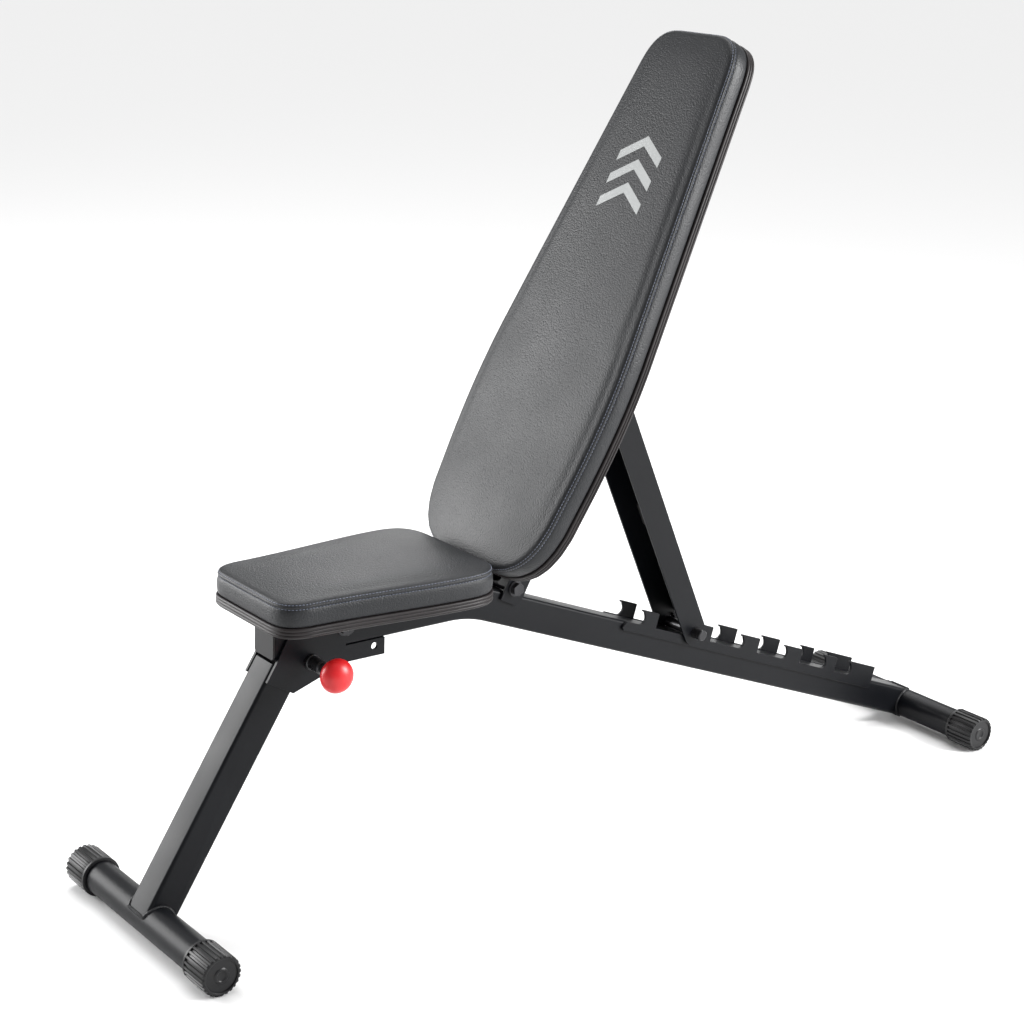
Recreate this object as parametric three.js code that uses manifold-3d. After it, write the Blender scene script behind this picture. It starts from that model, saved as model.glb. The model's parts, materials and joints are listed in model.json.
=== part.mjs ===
// Folding adjustable weight bench: a bent square-tube frame on two round feet, a fixed seat,
// a backrest that tilts about a bolt above the frame and is propped by a strut whose cross pin
// drops into a row of hooks, and a front leg that folds under the frame and is held by a pull pin.
// Millimetres, +X from the front foot to the rear foot, +Z up, origin on the floor midway.
import * as THREE from 'three';
import { mergeVertices } from 'three/addons/utils/BufferGeometryUtils.js';
import Module from 'manifold-3d';

const wasm = await Module();
wasm.setup();

// ---- driving dimensions -------------------------------------------------------------------
const gap = 0.3;              // between pieces that touch
const runClearance = 1.2;     // side play between pieces that swing past each other
const boreClearance = 0.3;    // radial, bolts in their holes

const footSpan = 1364;        // front foot axis to rear foot axis
const footWidth = 360;        // over the end caps
const footRadius = 22.5;      // round foot tubes
const capRadius = 27;
const capLength = 50;
const capWall = 4;
const capFacets = 32;
const tubeSize = 45;          // square tube of the frame and the leg
const tubeWall = 2;
const tubeCorner = 4.5;

const beamHeight = 365.5;     // centreline of the level front stretch
const beamFront = 168;        // beam's front end, from the front foot axis
const beamBend = 473;         // where the two centrelines cross, from the front foot axis
const bendRadius = 185;
const bendSteps = 7;

const legAngle = 58.3;        // degrees from the floor
const legTopGap = 5;          // under the beam
const legSwingGap = 3;        // coped head past the fold bracket
const legPivotX = 268;        // from the front foot axis
const legPivotRise = 4.5;     // above the beam's centreline
const legFoldAngle = 107;     // degrees
const lockRadius = 61.5;      // lock pin's distance from the leg pivot
const sidePlate = 4;          // thickness of the leg's and ladder's side plates
const bracketWall = 3.5;
const bracketDepth = 23;      // below the beam
const bracketReach = 11.5;    // metal in front of the front lock hole
const bracketTail = 16.1;     // metal behind the rear one
const lockPinRadius = 4.5;
const lockStemRadius = 3;
const lockPull = 5;           // travel of the drawn pin, further out
const housingRadius = 9;
const housingBore = 6.8;
const housingLength = 33;
const knobRadius = 22.5;
const knobHalfDepth = 17;
const knobReach = 59;         // knob centre beyond the leg's side plate
const boltRadius = 5;
const boltHeadRadius = 9.2;
const boltHeadHeight = 6.5;
const washerRadius = 11;
const washerThickness = 2;

const hingeX = 542;           // backrest hinge, from the front foot axis
const sleeveGap = 0.4;        // hinge sleeve above the beam's top face
const backAngle = 62;         // degrees from level, as it stands
const railWall = 3;
const railBack = 20;          // side flange behind the hinge line
const railFront = 15.3;       // side flange in front of it
const railLip = 18;
const railLipStart = -4;
const railStart = -22;
const railEnd = 755;
const strutPivot = 310;       // hinge to strut pivot, along the rails
const strutLength = 443;      // strut pivot to cross pin
const strutHalfDepth = 20;
const strutWebStart = 70;     // from the strut pivot
const strutWebStop = 8;       // short of the cross pin
const crossPinRadius = 8;
const hookFloor = 0.8;        // pockets above the beam's top face
const crossPinOverhang = 17;  // beyond each flange
const backStops = [84, 62, 46, 31, 15, 0];   // backrest angles that the hooks give
const hookThickness = 2.8;    // over the lip
const hookLip = 1;            // lip beyond the pin's centre
const hookPocket = 0.5;       // pocket radius over the pin's
const hookHeadroom = 2.6;     // under the lip
const hookLengths = [34, 40, 42, 42, 32, 64];
const hookLean = 2;           // a hook's back edge, at its foot
const hookMouth = 1.5;        // least play where the pin drops in behind a hook
const ladderDepth = 13;       // below the beam's top face
const ladderLead = 26;        // plate in front of the first hook

const boardThickness = 12.5;
const trimHeight = 13.5;
const trimProud = 2;
const cushionHeight = 32.5;
const seatLift = 7;           // seat board above the beam's top face
const seatFront = 138;        // from the front foot axis
const seatRear = 459;
const seatFrontHalf = 93.5;
const seatRearHalf = 113;
const padLift = 20;           // backrest board in front of the rails
const padStart = 8.5;
const padEnd = 782.5;
const padWideHalf = 138.5;
const padTopHalf = 87;
const crossbarWidth = 32;
const lowerBarHalf = 85;
const upperBarHalf = 68;
const lowerBarX = 120;        // from the hinge, along the rails
const upperBarX = 640;
const seatBarFrontX = 205;    // from the front foot axis
const seatBarRearX = 405;
const crossbarWall = 2.5;
const seatBarHalf = 62;
const screwRadius = 4;
const screwInset = 12;        // from a crossbar's end
const bumperStart = 225;      // from the strut pivot
const bumperLength = 37;
const bumperHalf = 14;
const bumperDepth = 14;

// ---- derived places -----------------------------------------------------------------------
const rad = THREE.MathUtils.degToRad;
const half = tubeSize / 2;
const frontX = -footSpan / 2;
const rearX = footSpan / 2;
const footZ = capRadius * Math.cos(Math.PI / capFacets);   // a cap stands on a facet
const bendX = frontX + beamBend;
const rearSlope = Math.atan2(beamHeight - footZ, rearX - bendX);
const legPivot = new THREE.Vector2(frontX + legPivotX, beamHeight + legPivotRise);
const hingeRise = crossPinRadius + gap + hookFloor;       // hinge and cross pin, above the beam
const sleeveRadius = hingeRise - sleeveGap;
const hingeDrop = (frontX + hingeX - bendX) * Math.tan(rearSlope);
const hinge = new THREE.Vector2(frontX + hingeX,
  beamHeight - hingeDrop + (half + hingeRise) / Math.cos(rearSlope));
const plateInner = half + gap;                    // side plates lie on the tube's sides
const plateOuter = plateInner + sidePlate;
const railInner = half + runClearance;
const railOuter = railInner + railWall;
const strutInner = Math.max(plateOuter, railOuter) + runClearance;
const strutOuter = strutInner + railWall;
const beamTop = beamHeight + half;
const seatBase = beamTop + seatLift;
const padBase = railFront + padLift;

// ---- finishes -----------------------------------------------------------------------------
const finish = (color, roughness, metalness) => () =>
  new THREE.MeshStandardMaterial({ color, roughness, metalness });
const powderCoat = finish(0x1c1e22, 0.55, 0.2);
const blackRubber = finish(0x0d0d0e, 0.6, 0);
const vinyl = finish(0x33363a, 0.5, 0);
const edging = finish(0x221f20, 0.6, 0);
const plywood = finish(0x9a7b55, 0.8, 0);
const zinc = finish(0xb9bcc0, 0.3, 1);
const blackBolt = finish(0x1a1a1c, 0.35, 0.8);
const redPlastic = finish(0xd3141c, 0.3, 0);

// ---- solids -------------------------------------------------------------------------------
// Shared corners joined, and faces turned outwards.
function closed(geometry) {
  const bare = geometry.clone();
  bare.deleteAttribute('normal');
  bare.deleteAttribute('uv');
  const merged = mergeVertices(bare, 1e-4);
  const p = merged.attributes.position;
  const index = merged.index.array;
  const a = new THREE.Vector3();
  const b = new THREE.Vector3();
  const c = new THREE.Vector3();
  const kept = [];
  let volume = 0;
  for (let i = 0; i < index.length; i += 3) {
    const [i0, i1, i2] = [index[i], index[i + 1], index[i + 2]];
    if (i0 === i1 || i1 === i2 || i0 === i2) continue;
    volume += a.fromBufferAttribute(p, i0).dot(
      b.fromBufferAttribute(p, i1).cross(c.fromBufferAttribute(p, i2)));
    kept.push(i0, i1, i2);
  }
  if (volume < 0) kept.reverse();
  merged.setIndex(kept);
  return merged;
}

function toManifold(geometry) {
  const g = closed(geometry);
  return new wasm.Manifold(new wasm.Mesh({
    numProp: 3,
    vertProperties: new Float32Array(g.attributes.position.array),
    triVerts: new Uint32Array(g.index.array),
  }));
}

function toGeometry(manifold) {
  const mesh = manifold.getMesh();
  const g = new THREE.BufferGeometry();
  g.setAttribute('position', new THREE.BufferAttribute(new Float32Array(mesh.vertProperties), 3));
  g.setIndex(new THREE.BufferAttribute(new Uint32Array(mesh.triVerts), 1));
  return g;
}

function cut(geometry, ...cutters) {
  let solid = toManifold(geometry);
  for (const cutter of cutters) solid = solid.subtract(toManifold(cutter));
  return toGeometry(solid);
}

function join(...geometries) {
  const solids = geometries.map(toManifold);
  return toGeometry(solids.reduce((whole, solid) => whole.add(solid)));
}

// An outline in X and Z, given a thickness across Y between two planes.
function plate(shape, y0, y1, curveSegments = 8) {
  const g = new THREE.ExtrudeGeometry(shape, { depth: y1 - y0, bevelEnabled: false, curveSegments });
  g.rotateX(Math.PI / 2);
  g.translate(0, y1, 0);
  return g;
}

// An outline in X and Y, given a height between two levels.
function slab(shape, z0, z1, curveSegments = 8) {
  const g = new THREE.ExtrudeGeometry(shape, { depth: z1 - z0, bevelEnabled: false, curveSegments });
  g.translate(0, 0, z0);
  return g;
}

// Turned about Y from [radius, y] points; a profile that leaves the axis closes on itself.
function turned(profile, segments = 32) {
  const points = profile.map(([r, y]) => new THREE.Vector2(r, y));
  if (profile[0][0] > 0) points.push(points[0].clone());
  return new THREE.LatheGeometry(points, segments);
}

function rod(radius, y0, y1, x = 0, z = 0, segments = 24) {
  const g = new THREE.CylinderGeometry(radius, radius, y1 - y0, segments);
  g.translate(x, (y0 + y1) / 2, z);
  return g;
}

function block(x0, x1, y0, y1, z0, z1) {
  const g = new THREE.BoxGeometry(x1 - x0, y1 - y0, z1 - z0);
  g.translate((x0 + x1) / 2, (y0 + y1) / 2, (z0 + z1) / 2);
  return g;
}

function roundedSquare(size, corner, Path = THREE.Shape) {
  const s = size / 2;
  const k = s - corner;
  const outline = new Path();
  outline.moveTo(s, -k);
  outline.lineTo(s, k);
  outline.absarc(k, k, corner, 0, Math.PI / 2);
  outline.lineTo(-k, s);
  outline.absarc(-k, k, corner, Math.PI / 2, Math.PI);
  outline.lineTo(-s, -k);
  outline.absarc(-k, -k, corner, Math.PI, 1.5 * Math.PI);
  outline.lineTo(k, -s);
  outline.absarc(k, -k, corner, 1.5 * Math.PI, 2 * Math.PI);
  return outline;
}

function tubeSection() {
  const section = roundedSquare(tubeSize, tubeCorner);
  section.holes.push(roundedSquare(tubeSize - 2 * tubeWall, tubeCorner - tubeWall, THREE.Path));
  return section;
}

// A path in X and Z given by its stations, so that a sweep has rings only where it turns.
class StationPath extends THREE.Curve {
  constructor(stations) {
    super();
    this.stations = stations;
  }

  getPoint(t) {
    const s = this.stations[Math.round(t * (this.stations.length - 1))];
    return new THREE.Vector3(s.x, 0, s.z);
  }

  getPointAt(t) {
    return this.getPoint(t);
  }

  getTangentAt(t) {
    const s = this.stations[Math.round(t * (this.stations.length - 1))];
    return new THREE.Vector3(Math.cos(s.slope), 0, -Math.sin(s.slope));
  }
}

// ---- the group and its slanted frames -----------------------------------------------------
const bench = new THREE.Group();

function piece(parent, name, geometry, material) {
  const mesh = new THREE.Mesh(closed(geometry), material());
  mesh.name = name;
  parent.add(mesh);
}

// A frame whose X runs at an angle above level, in the XZ plane.
function slantedFrame(x, z, angle) {
  const frame = new THREE.Group();
  frame.position.set(x, 0, z);
  frame.rotation.y = -angle;
  bench.add(frame);
  frame.updateMatrixWorld(true);
  return frame;
}

function inFrame(frame, x, z) {
  const p = frame.worldToLocal(new THREE.Vector3(x, 0, z));
  return [p.x, p.z];
}

const sides = [['left', 1], ['right', -1]];   // left is +Y, right is -Y

function mirrored(side, a, b) {
  return side > 0 ? [a, b] : [-b, -a];
}

const legFrame = slantedFrame(frontX, footZ, rad(legAngle));
const slopeFrame = slantedFrame(hinge.x, hinge.y, -rearSlope);
const backFrame = slantedFrame(hinge.x, hinge.y, rad(backAngle));
const topFace = -hingeRise;                       // beam's top face in the slope frame

// Distance of the cross pin from the hinge along the beam, for a backrest angle.
function pinDistance(angle) {
  const a = rad(angle) + rearSlope;
  return strutPivot * Math.cos(a) + Math.sqrt(strutLength ** 2 - (strutPivot * Math.sin(a)) ** 2);
}

const strutTop = new THREE.Vector2(
  hinge.x + strutPivot * Math.cos(rad(backAngle)), hinge.y + strutPivot * Math.sin(rad(backAngle)));
const strutFoot = new THREE.Vector2(
  hinge.x + pinDistance(backAngle) * Math.cos(rearSlope),
  hinge.y - pinDistance(backAngle) * Math.sin(rearSlope));
const strutFrame = slantedFrame(strutTop.x, strutTop.y,
  Math.atan2(strutFoot.y - strutTop.y, strutFoot.x - strutTop.x));

// ---- feet ---------------------------------------------------------------------------------
function foot(prefix, x) {
  const end = footWidth / 2 - capWall - gap;
  const tube = turned([[footRadius, -end], [footRadius, end],
    [footRadius - tubeWall, end], [footRadius - tubeWall, -end]], capFacets);
  tube.rotateY(Math.PI / capFacets);
  tube.translate(x, 0, footZ);
  piece(bench, `${prefix}_foot_tube`, tube, powderCoat);
  for (const [label, side] of sides) {
    const outer = footWidth / 2;
    const inner = outer - capLength;
    const bore = footRadius + gap;
    const cap = turned([[0, outer], [capRadius - 3, outer], [capRadius, outer - 3],
      [capRadius, inner + 1], [capRadius - 1, inner], [bore, inner],
      [bore, outer - capWall], [0, outer - capWall]], capFacets);
    cap.rotateY(Math.PI / capFacets);
    if (side < 0) cap.rotateX(Math.PI);
    cap.translate(x, 0, footZ);
    piece(bench, `${prefix}_foot_cap_${label}`, cap, blackRubber);
  }
}

// ---- frame --------------------------------------------------------------------------------
function beamStations() {
  const setback = bendRadius * Math.tan(rearSlope / 2);
  const arcStart = bendX - setback;
  const stations = [{ x: frontX + beamFront, z: beamHeight, slope: 0 }];
  for (let i = 0; i <= bendSteps; i += 1) {
    const slope = (rearSlope * i) / bendSteps;
    stations.push({
      x: arcStart + bendRadius * Math.sin(slope),
      z: beamHeight - bendRadius * (1 - Math.cos(slope)),
      slope,
    });
  }
  stations.push({ x: rearX, z: footZ, slope: rearSlope });
  return stations;
}

function frameTube() {
  const stations = beamStations();
  const sweep = new THREE.ExtrudeGeometry(tubeSection(), {
    steps: stations.length - 1, extrudePath: new StationPath(stations), curveSegments: 3,
  });
  const reach = tubeSize;
  return cut(sweep,
    rod(footRadius + gap, -reach, reach, rearX, footZ, 48),
    block(rearX, rearX + reach, -reach, reach, footZ - reach, footZ + reach),
    rod(boltRadius + boreClearance, -reach, reach, legPivot.x, legPivot.y));
}

function endPlug() {
  const flange = slab(roundedSquare(tubeSize, tubeCorner), 0, 3, 3);
  const spigot = slab(roundedSquare(tubeSize - 2 * tubeWall - 2 * gap, tubeCorner - tubeWall), -16, 0.5, 3);
  const plug = join(flange, spigot);
  plug.rotateY(-Math.PI / 2);
  plug.translate(frontX + beamFront - gap, 0, beamHeight);
  return plug;
}

// Where the lock pin meets the bracket, leg open (-1) and folded (+1).
function lockHole(side) {
  const swing = rad(legFoldAngle / 2) * side;
  return [legPivot.x + lockRadius * Math.sin(swing), legPivot.y - lockRadius * Math.cos(swing)];
}

function foldBracket() {
  const [x0] = lockHole(-1);
  const [x1] = lockHole(1);
  const top = beamHeight - half - gap;
  const outer = half - gap;
  const channel = block(x0 - bracketReach, x1 + bracketTail, -outer, outer, top - bracketDepth, top);
  const hollow = outer - bracketWall;
  const cutters = [block(x0 - bracketReach - 5, x1 + bracketTail + 5, -hollow, hollow, top - bracketDepth - 5, top - bracketWall)];
  for (const side of [-1, 1]) {
    const [x, z] = lockHole(side);
    cutters.push(rod(lockPinRadius + gap, -tubeSize, tubeSize, x, z));
  }
  return cut(channel, ...cutters);
}

// Hooked outline in the slope frame: u along the beam from the hinge, v from the hinge line.
function ladderOutline() {
  const stops = backStops.map(pinDistance);
  const floor = topFace + hookFloor;
  const pocket = crossPinRadius + hookPocket;
  const under = crossPinRadius + hookHeadroom;
  const top = under + hookThickness;
  const base = topFace - ladderDepth;
  const outline = new THREE.Shape();
  outline.moveTo(stops[0] - ladderLead, base);
  outline.lineTo(stops[0] - ladderLead - 4, base + 4);
  outline.lineTo(stops[0] - ladderLead + 2, floor);
  const mouth = 2 * crossPinRadius + hookMouth + hookLean;
  const ends = stops.map((u, i) => Math.min(u + hookLengths[i], (stops[i + 1] ?? Infinity) - mouth) - hookLip);
  stops.forEach((u, i) => {
    const start = u - hookLip;
    const end = ends[i];
    outline.lineTo(u, floor);
    outline.absarc(u, floor + pocket, pocket, -Math.PI / 2, Math.PI / 4);
    outline.lineTo(u + 3, under);
    outline.lineTo(start, under);
    outline.lineTo(start, top);
    outline.lineTo(end, top);
    outline.lineTo(end + hookLean, i < stops.length - 1 ? floor : base + 5);
  });
  outline.lineTo(ends[ends.length - 1] - 3, base);
  outline.closePath();
  return outline;
}

function hingeSleeve() {
  const end = half - gap;
  return turned([[sleeveRadius, -end], [sleeveRadius, end],
    [boltRadius + boreClearance, end], [boltRadius + boreClearance, -end]], 24);
}

// ---- threaded hardware --------------------------------------------------------------------
function boltSet(parent, name, x, z, grip, material) {
  const hexBase = grip + washerThickness + 2 * gap;
  const shank = rod(boltRadius, -hexBase - 0.5, hexBase + boltHeadHeight + 4, x, z);
  const head = rod(boltHeadRadius, -hexBase - boltHeadHeight, -hexBase, x, z, 6);
  piece(parent, `${name}_bolt`, join(shank, head), material);
  const nut = rod(boltHeadRadius, hexBase, hexBase + boltHeadHeight, x, z, 6);
  const bore = rod(boltRadius + gap, 0, hexBase + 20, x, z);
  piece(parent, `${name}_nut`, cut(nut, bore), material);
  for (const [label, side] of sides) {
    const [y0, y1] = mirrored(side, grip + gap, grip + gap + washerThickness);
    const washer = turned([[washerRadius, y0], [washerRadius, y1],
      [boltRadius + gap, y1], [boltRadius + gap, y0]], 24);
    washer.translate(x, 0, z);
    piece(parent, `${name}_washer_${label}`, washer, material);
  }
}

// ---- front leg ----------------------------------------------------------------------------
function legTube() {
  const length = beamHeight / Math.sin(rad(legAngle)) + tubeSize;
  const tube = new THREE.ExtrudeGeometry(tubeSection(), { depth: length, bevelEnabled: false, curveSegments: 3 });
  tube.rotateY(Math.PI / 2);
  const [px, pz] = inFrame(legFrame, legPivot.x, legPivot.y);
  const topZ = beamHeight - half - legTopGap;
  const above = block(-600, 600, -tubeSize, tubeSize, 0, 300);
  above.rotateY(rad(legAngle));
  const [tx, tz] = inFrame(legFrame, frontX, topZ);
  above.translate(tx, 0, tz);
  const bracketCorner = Math.hypot(
    lockHole(1)[0] + bracketTail - legPivot.x, legPivot.y - beamHeight + half + bracketDepth);
  return cut(tube,
    rod(footRadius + gap, -tubeSize, tubeSize, 0, 0, 48),
    rod(bracketCorner + legSwingGap, -tubeSize, tubeSize, px, pz, 64),
    above);
}

// Gusset from the leg's head to the pivot lobe, in the leg frame.
function legPlateOutline() {
  const at = (x, z) => inFrame(legFrame, x, z);
  const [px, pz] = at(legPivot.x, legPivot.y);
  const lobe = 17;
  const topX = (beamHeight - half - legTopGap - footZ) / Math.sin(rad(legAngle));
  const [lx, lz] = at(...lockHole(-1));
  const outline = new THREE.Shape();
  outline.moveTo(topX - 38, half - 0.5);
  outline.lineTo(topX - 36, -half);
  outline.lineTo(lx - 14, lz - 24);
  outline.lineTo(px - 26, pz - 17);
  outline.absarc(px, pz, lobe, -0.75 * Math.PI, 0.3 * Math.PI);
  outline.lineTo(px - 42, half + 2);
  outline.lineTo(topX - 13, half - 0.5);
  outline.closePath();
  for (const [x, z, r] of [[px, pz, boltRadius + boreClearance], [lx, lz, lockPinRadius + gap]]) {
    const hole = new THREE.Path();
    hole.absarc(x, z, r, 0, 2 * Math.PI, true);
    outline.holes.push(hole);
  }
  return outline;
}

// ---- pull pin -----------------------------------------------------------------------------
const housingBase = -(plateOuter + gap);
const housingTip = housingBase - housingLength;
const pinTip = -(half + 0.2);                      // drawn just clear of the bracket
const knobCentre = -(plateOuter + knobReach);
const collarBase = housingBase - 7;
const collarThickness = 3;
const springWire = 0.7;

function pinHousing() {
  const wall = 4;
  return turned([[housingRadius + 1.5, housingBase], [housingRadius + 1.5, housingBase - 4],
    [housingRadius, housingBase - 5], [housingRadius, housingTip + 8], [housingRadius - 1.6, housingTip + 6],
    [housingRadius - 1.6, housingTip + 3], [housingRadius - 0.6, housingTip + 2],
    [housingRadius - 0.6, housingTip], [lockStemRadius + gap, housingTip],
    [lockStemRadius + gap, housingTip + wall], [housingBore, housingTip + wall],
    [housingBore, housingBase]]);
}

function lockPin() {
  const end = knobCentre - knobHalfDepth + 8;
  const collarEnd = collarBase - collarThickness;
  return turned([[0, pinTip], [lockPinRadius - 1, pinTip], [lockPinRadius, pinTip - 1],
    [lockPinRadius, collarBase], [housingBore - gap, collarBase], [housingBore - gap, collarEnd],
    [lockStemRadius, collarEnd], [lockStemRadius, end], [0, end]], 24);
}

function knob() {
  const pocket = lockStemRadius + gap;
  const end = knobCentre - knobHalfDepth + 8 - gap;
  const steps = 12;
  const profile = [[0, end], [pocket, end]];
  const neck = 7.5;
  const start = Math.asin(neck / knobRadius);
  profile.push([pocket, knobCentre + knobHalfDepth * Math.cos(start) + 3]);
  profile.push([neck, knobCentre + knobHalfDepth * Math.cos(start) + 3]);
  for (let i = 0; i < steps; i += 1) {
    const a = start + ((Math.PI - start) * i) / steps;
    profile.push([knobRadius * Math.sin(a), knobCentre + knobHalfDepth * Math.cos(a)]);
  }
  profile.push([0, knobCentre - knobHalfDepth]);
  return turned(profile);
}

// The coil at the length it has when the pin is pulled right out.
function pinSpring() {
  const from = housingTip + 4 + 1;
  const to = collarBase - collarThickness - lockPull - 1.5;   // clear of the pulled collar
  const turns = 6;
  const steps = turns * 10;
  const radius = (lockStemRadius + housingBore) / 2;
  const points = [];
  for (let i = 0; i <= steps; i += 1) {
    const a = (2 * Math.PI * turns * i) / steps;
    points.push(new THREE.Vector3(radius * Math.cos(a), from + ((to - from) * i) / steps, radius * Math.sin(a)));
  }
  const wire = new THREE.Shape();
  wire.absarc(0, 0, springWire, 0, 2 * Math.PI);
  return new THREE.ExtrudeGeometry(wire, {
    steps, extrudePath: new THREE.CatmullRomCurve3(points), curveSegments: 3,
  });
}

// ---- pads ---------------------------------------------------------------------------------
// Half outlines as bezier stretches, from one end's corner to the other's.
function seatHalf() {
  const [f, r] = [seatFront, seatRear];
  const path = new THREE.Path();
  path.moveTo(f, seatFrontHalf - 38);
  path.bezierCurveTo(f, seatFrontHalf - 13, f + 11, seatFrontHalf - 3, f + 34, seatFrontHalf);
  path.bezierCurveTo(f + 110, seatFrontHalf + 1, r - 110, seatRearHalf + 1, r - 52, seatRearHalf);
  path.bezierCurveTo(r - 17, seatRearHalf, r, seatRearHalf - 18, r, seatRearHalf - 52);
  return path;
}

function backHalf() {
  const [s, e, w, t] = [padStart, padEnd, padWideHalf, padTopHalf];
  const path = new THREE.Path();
  path.moveTo(s, w - 101);
  path.bezierCurveTo(s, w - 41, s + 34, w - 9, s + 109, w - 7);
  path.bezierCurveTo(s + 180, w + 0.5, s + 250, w + 3, s + 320, w - 4);
  path.lineTo(e - 50, t + 1.5);
  path.bezierCurveTo(e - 15, t - 2.5, e, t - 20, e, t - 47);
  return path;
}

// The whole outline, moved outwards by an offset.
function padOutline(halfPath, offset, Path = THREE.Shape) {
  const side = halfPath.getPoints(7);
  const whole = [...side, ...side.map((p) => new THREE.Vector2(p.x, -p.y)).reverse()];
  const grown = whole.map((p, i) => {
    const before = whole[(i + whole.length - 1) % whole.length];
    const after = whole[(i + 1) % whole.length];
    const along = after.clone().sub(before).normalize();
    return new THREE.Vector2(p.x - along.y * offset, p.y + along.x * offset);
  });
  return new Path(grown.reverse());
}

function pad(parent, prefix, halfPath, base, x = 0) {
  const boardEdge = -gap;
  const board = slab(padOutline(halfPath, boardEdge), base + 0.5, base + 0.5 + boardThickness);
  const ring = padOutline(halfPath, trimProud);
  ring.holes.push(padOutline(halfPath, boardEdge + gap, THREE.Path));
  const trim = slab(ring, base, base + trimHeight);
  const bottom = base + trimHeight + gap;
  const cushion = slab(padOutline(halfPath, 0), bottom, bottom + cushionHeight);
  for (const g of [board, trim, cushion]) g.translate(x, 0, 0);
  piece(parent, `${prefix}_board`, board, plywood);
  piece(parent, `${prefix}_edge_trim`, trim, edging);
  piece(parent, `${prefix}_cushion`, cushion, vinyl);
}

// A folded-steel cross bar, open underneath, with its two screws into the board.
function crossbar(parent, name, x, halfLength, z0, z1, screws) {
  const w = crossbarWidth / 2;
  const wall = crossbarWall;
  const bar = block(x - w, x + w, -halfLength, halfLength, z0, z1);
  const hollow = block(x - w + wall, x + w - wall, -halfLength - 5, halfLength + 5, z0 - 5, z1 - wall);
  const reach = halfLength - screwInset;
  const bores = [reach, -reach].map((y) => {
    const bore = new THREE.CylinderGeometry(screwRadius + gap, screwRadius + gap, 30, 16);
    bore.rotateX(Math.PI / 2);
    bore.translate(x, y, z1);
    return bore;
  });
  piece(parent, name, cut(bar, hollow, ...bores), powderCoat);
  for (const [label, side] of sides) {
    const headZ = z1 - wall - gap;
    const profile = [[0, headZ - 3.5], [5.5, headZ - 3.5], [7.5, headZ - 1.5], [7.5, headZ],
      [screwRadius, headZ], [screwRadius, z1 + 0.2], [0, z1 + 0.2]];
    const screw = turned(profile, 20);
    screw.rotateX(Math.PI / 2);
    screw.translate(x, side * reach, 0);
    piece(parent, `${screws}_${label}`, screw, zinc);
  }
}

// ---- backrest rails and strut -------------------------------------------------------------
function railSide(side) {
  const [y0, y1] = mirrored(side, railInner, railOuter);
  const web = new THREE.Shape();
  web.moveTo(railStart, -railBack + 6);
  web.lineTo(railStart + 6, -railBack);
  web.lineTo(railEnd, -railBack);
  web.lineTo(railEnd, railFront);
  web.lineTo(railStart, railFront);
  web.closePath();
  for (const x of [0, strutPivot]) {
    const hole = new THREE.Path();
    hole.absarc(x, 0, boltRadius + boreClearance, 0, 2 * Math.PI, true);
    web.holes.push(hole);
  }
  const [l0, l1] = mirrored(side, railOuter - railLip, railOuter);
  const lip = block(railLipStart, railEnd, l0, l1, railFront - railWall, railFront);
  return join(plate(web, y0, y1), lip);
}

function strutFlange(side) {
  const [y0, y1] = mirrored(side, strutInner, strutOuter);
  const d = strutHalfDepth;
  const outline = new THREE.Shape();
  outline.moveTo(0, -d + 3);
  outline.lineTo(strutWebStart, -d);
  outline.lineTo(strutLength, -d);
  outline.absarc(strutLength, -2, d - 2, -Math.PI / 2, 0);
  outline.lineTo(strutLength + d - 2, 2);
  outline.absarc(strutLength - strutWebStop + 8, 2, d - 2, 0, Math.PI / 2);
  outline.lineTo(strutLength - strutWebStop, d);
  outline.lineTo(strutWebStart, d);
  outline.lineTo(0, d - 3);
  outline.absarc(0, 0, d - 3, Math.PI / 2, 1.5 * Math.PI);
  outline.closePath();
  for (const [x, r] of [[0, boltRadius + boreClearance], [strutLength, crossPinRadius + gap]]) {
    const hole = new THREE.Path();
    hole.absarc(x, 0, r, 0, 2 * Math.PI, true);
    outline.holes.push(hole);
  }
  return plate(outline, y0, y1);
}

function strutChannel() {
  const web = block(strutWebStart, strutLength - strutWebStop, -strutOuter, strutOuter,
    strutHalfDepth - railWall, strutHalfDepth);
  return join(strutFlange(1), strutFlange(-1), web);
}

function crossPin() {
  const end = strutOuter + crossPinOverhang;
  const r = crossPinRadius;
  return turned([[0, -end], [r - 1.2, -end], [r, -end + 1.2], [r, end - 1.2], [r - 1.2, end], [0, end]]);
}

// ---- assembly -----------------------------------------------------------------------------
piece(bench, 'main_beam', frameTube(), powderCoat);
piece(bench, 'beam_end_plug', endPlug(), blackRubber);
piece(bench, 'fold_bracket', foldBracket(), powderCoat);
foot('front', frontX);
foot('rear', rearX);
for (const [label, side] of sides) {
  piece(slopeFrame, `ladder_plate_${label}`,
    plate(ladderOutline(), ...mirrored(side, plateInner, plateOuter), 5), powderCoat);
}
piece(slopeFrame, 'hinge_sleeve', hingeSleeve(), powderCoat);

const seatLevels = [beamTop + gap, seatBase + 0.5 - gap];
crossbar(bench, 'seat_bar_front', frontX + seatBarFrontX, seatBarHalf, ...seatLevels, 'seat_screw_front');
crossbar(bench, 'seat_bar_rear', frontX + seatBarRearX, seatBarHalf, ...seatLevels, 'seat_screw_rear');
pad(bench, 'seat', seatHalf(), seatBase, frontX);

boltSet(bench, 'leg_pivot', legPivot.x, legPivot.y, plateOuter, blackBolt);
piece(legFrame, 'leg_tube', legTube(), powderCoat);
for (const [label, side] of sides) {
  piece(legFrame, `leg_plate_${label}`,
    plate(legPlateOutline(), ...mirrored(side, plateInner, plateOuter), 10), powderCoat);
}
const lockFrame = slantedFrame(...lockHole(-1), 0);
piece(lockFrame, 'pin_housing', pinHousing(), blackBolt);
piece(lockFrame, 'pin_spring', pinSpring(), zinc);
piece(lockFrame, 'lock_pin', lockPin(), zinc);
piece(lockFrame, 'lock_knob', knob(), redPlastic);

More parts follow.
